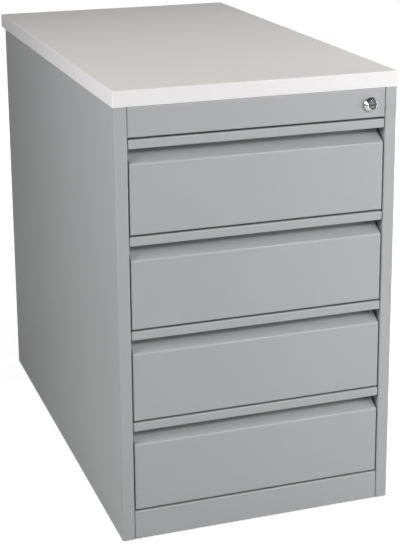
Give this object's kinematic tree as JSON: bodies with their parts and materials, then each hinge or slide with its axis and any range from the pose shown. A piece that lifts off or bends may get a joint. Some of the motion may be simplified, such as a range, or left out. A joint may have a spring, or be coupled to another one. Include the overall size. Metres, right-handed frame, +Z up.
{
  "type": "desk-high drawer pedestal",
  "caption": "Desk-high grey steel pedestal cabinet: full-width finger-pull drawers on telescopic runners, a keyed bar lock, levelling feet and a pale board worktop.",
  "frame": {"origin": "on the floor, under the middle of the whole outline", "axes": "+Z up, the drawers face -Y, and +X is on the right of someone facing them"},
  "size_m": [0.464, 0.834, 0.73],
  "materials": {
    "grey_powder_coat": "satin powder coat",
    "tray_powder_coat": "satin powder coat",
    "worktop_laminate": "melamine-faced board",
    "worktop_edging_abs": "satin",
    "zinc_plated_steel": "zinc plated",
    "chrome_plate": "polished",
    "black_nylon": "moulded"
  },
  "bodies": {
    "carcass": {"worktop_board": "worktop_laminate", "worktop_edging": "worktop_edging_abs", "worktop_screws": "zinc_plated_steel", "left_side_panel": "grey_powder_coat", "right_side_panel": "grey_powder_coat", "back_panel": "grey_powder_coat", "base_panel": "grey_powder_coat", "plinth": "grey_powder_coat", "lock_fascia": "grey_powder_coat", "top_rear_rail": "grey_powder_coat", "runner_posts": "grey_powder_coat", "runner_fixed_channels": "zinc_plated_steel", "runner_screws": "zinc_plated_steel", "foot_nuts": "zinc_plated_steel", "lock_housing": "chrome_plate", "lock_nut": "zinc_plated_steel", "lock_bar_guides": "black_nylon"},
    "lock_plug": {"lock_plug": "chrome_plate", "lock_cam": "zinc_plated_steel", "lock_cam_screw": "zinc_plated_steel"},
    "lock_bar": {"lock_bar": "zinc_plated_steel", "lock_bar_arm": "zinc_plated_steel", "lock_bar_hooks": "zinc_plated_steel"},
    "drawer_1": {"drawer_1_front_skin": "grey_powder_coat", "drawer_1_pull_liner": "grey_powder_coat", "drawer_1_tray": "tray_powder_coat", "drawer_1_lock_catch": "zinc_plated_steel", "drawer_1_inner_channels": "zinc_plated_steel"},
    "drawer_1_middle_channels": {"drawer_1_middle_channels": "zinc_plated_steel"},
    "drawer_1_outer_cages": {"drawer_1_outer_cages": "zinc_plated_steel"},
    "drawer_1_inner_cages": {"drawer_1_inner_cages": "zinc_plated_steel"},
    "drawer_2": {"drawer_2_front_skin": "grey_powder_coat", "drawer_2_pull_liner": "grey_powder_coat", "drawer_2_tray": "tray_powder_coat", "drawer_2_lock_catch": "zinc_plated_steel", "drawer_2_inner_channels": "zinc_plated_steel"},
    "drawer_2_middle_channels": {"drawer_2_middle_channels": "zinc_plated_steel"},
    "drawer_2_outer_cages": {"drawer_2_outer_cages": "zinc_plated_steel"},
    "drawer_2_inner_cages": {"drawer_2_inner_cages": "zinc_plated_steel"},
    "drawer_3": {"drawer_3_front_skin": "grey_powder_coat", "drawer_3_pull_liner": "grey_powder_coat", "drawer_3_tray": "tray_powder_coat", "drawer_3_lock_catch": "zinc_plated_steel", "drawer_3_inner_channels": "zinc_plated_steel"},
    "drawer_3_middle_channels": {"drawer_3_middle_channels": "zinc_plated_steel"},
    "drawer_3_outer_cages": {"drawer_3_outer_cages": "zinc_plated_steel"},
    "drawer_3_inner_cages": {"drawer_3_inner_cages": "zinc_plated_steel"},
    "drawer_4": {"drawer_4_front_skin": "grey_powder_coat", "drawer_4_pull_liner": "grey_powder_coat", "drawer_4_tray": "tray_powder_coat", "drawer_4_lock_catch": "zinc_plated_steel", "drawer_4_inner_channels": "zinc_plated_steel"},
    "drawer_4_middle_channels": {"drawer_4_middle_channels": "zinc_plated_steel"},
    "drawer_4_outer_cages": {"drawer_4_outer_cages": "zinc_plated_steel"},
    "drawer_4_inner_cages": {"drawer_4_inner_cages": "zinc_plated_steel"},
    "front_left_foot": {"front_left_foot": "black_nylon"},
    "front_right_foot": {"front_right_foot": "black_nylon"},
    "rear_left_foot": {"rear_left_foot": "black_nylon"},
    "rear_right_foot": {"rear_right_foot": "black_nylon"}
  },
  "joints": [
    {"name": "drawer_1_slide", "type": "slide", "parent": "carcass", "child": "drawer_1", "axis": [0, -1, 0], "range_m": [0, 0.62]},
    {"name": "drawer_1_middle_channels_slide", "type": "slide", "parent": "carcass", "child": "drawer_1_middle_channels", "axis": [0, -1, 0], "range_m": [0, 0.31]},
    {"name": "drawer_1_outer_cages_slide", "type": "slide", "parent": "carcass", "child": "drawer_1_outer_cages", "axis": [0, -1, 0], "range_m": [0, 0.155]},
    {"name": "drawer_1_inner_cages_slide", "type": "slide", "parent": "carcass", "child": "drawer_1_inner_cages", "axis": [0, -1, 0], "range_m": [0, 0.465]},
    {"name": "drawer_2_slide", "type": "slide", "parent": "carcass", "child": "drawer_2", "axis": [0, -1, 0], "range_m": [0, 0.62]},
    {"name": "drawer_2_middle_channels_slide", "type": "slide", "parent": "carcass", "child": "drawer_2_middle_channels", "axis": [0, -1, 0], "range_m": [0, 0.31]},
    {"name": "drawer_2_outer_cages_slide", "type": "slide", "parent": "carcass", "child": "drawer_2_outer_cages", "axis": [0, -1, 0], "range_m": [0, 0.155]},
    {"name": "drawer_2_inner_cages_slide", "type": "slide", "parent": "carcass", "child": "drawer_2_inner_cages", "axis": [0, -1, 0], "range_m": [0, 0.465]},
    {"name": "drawer_3_slide", "type": "slide", "parent": "carcass", "child": "drawer_3", "axis": [0, -1, 0], "range_m": [0, 0.62]},
    {"name": "drawer_3_middle_channels_slide", "type": "slide", "parent": "carcass", "child": "drawer_3_middle_channels", "axis": [0, -1, 0], "range_m": [0, 0.31]},
    {"name": "drawer_3_outer_cages_slide", "type": "slide", "parent": "carcass", "child": "drawer_3_outer_cages", "axis": [0, -1, 0], "range_m": [0, 0.155]},
    {"name": "drawer_3_inner_cages_slide", "type": "slide", "parent": "carcass", "child": "drawer_3_inner_cages", "axis": [0, -1, 0], "range_m": [0, 0.465]},
    {"name": "drawer_4_slide", "type": "slide", "parent": "carcass", "child": "drawer_4", "axis": [0, -1, 0], "range_m": [0, 0.62]},
    {"name": "drawer_4_middle_channels_slide", "type": "slide", "parent": "carcass", "child": "drawer_4_middle_channels", "axis": [0, -1, 0], "range_m": [0, 0.31]},
    {"name": "drawer_4_outer_cages_slide", "type": "slide", "parent": "carcass", "child": "drawer_4_outer_cages", "axis": [0, -1, 0], "range_m": [0, 0.155]},
    {"name": "drawer_4_inner_cages_slide", "type": "slide", "parent": "carcass", "child": "drawer_4_inner_cages", "axis": [0, -1, 0], "range_m": [0, 0.465]},
    {"name": "lock_turn", "type": "hinge", "parent": "carcass", "child": "lock_plug", "pos_m": [0.1845, -0.409, 0.68], "axis": [0, 1, 0], "range_deg": [0, 90]},
    {"name": "lock_bar_slide", "type": "slide", "parent": "carcass", "child": "lock_bar", "axis": [0, 0, 1], "range_m": [0, 0.00848]},
    {"name": "front_left_foot_turn", "type": "hinge", "parent": "carcass", "child": "front_left_foot", "pos_m": [-0.185, -0.334, 0.018], "axis": [0, 0, 1], "continuous": true},
    {"name": "front_right_foot_turn", "type": "hinge", "parent": "carcass", "child": "front_right_foot", "pos_m": [0.185, -0.334, 0.018], "axis": [0, 0, 1], "continuous": true},
    {"name": "rear_left_foot_turn", "type": "hinge", "parent": "carcass", "child": "rear_left_foot", "pos_m": [-0.185, 0.346, 0.018], "axis": [0, 0, 1], "continuous": true},
    {"name": "rear_right_foot_turn", "type": "hinge", "parent": "carcass", "child": "rear_right_foot", "pos_m": [0.185, 0.346, 0.018], "axis": [0, 0, 1], "continuous": true}
  ],
  "couplings": [
    {"joint": "drawer_1_middle_channels_slide", "follows": "drawer_1_slide", "ratio": 0.5},
    {"joint": "drawer_1_outer_cages_slide", "follows": "drawer_1_slide", "ratio": 0.25},
    {"joint": "drawer_1_inner_cages_slide", "follows": "drawer_1_slide", "ratio": 0.75},
    {"joint": "drawer_2_middle_channels_slide", "follows": "drawer_2_slide", "ratio": 0.5},
    {"joint": "drawer_2_outer_cages_slide", "follows": "drawer_2_slide", "ratio": 0.25},
    {"joint": "drawer_2_inner_cages_slide", "follows": "drawer_2_slide", "ratio": 0.75},
    {"joint": "drawer_3_middle_channels_slide", "follows": "drawer_3_slide", "ratio": 0.5},
    {"joint": "drawer_3_outer_cages_slide", "follows": "drawer_3_slide", "ratio": 0.25},
    {"joint": "drawer_3_inner_cages_slide", "follows": "drawer_3_slide", "ratio": 0.75},
    {"joint": "drawer_4_middle_channels_slide", "follows": "drawer_4_slide", "ratio": 0.5},
    {"joint": "drawer_4_outer_cages_slide", "follows": "drawer_4_slide", "ratio": 0.25},
    {"joint": "drawer_4_inner_cages_slide", "follows": "drawer_4_slide", "ratio": 0.75},
    {"joint": "lock_turn", "follows": "lock_bar_slide", "rad_per_m": 185.12}
  ]
}
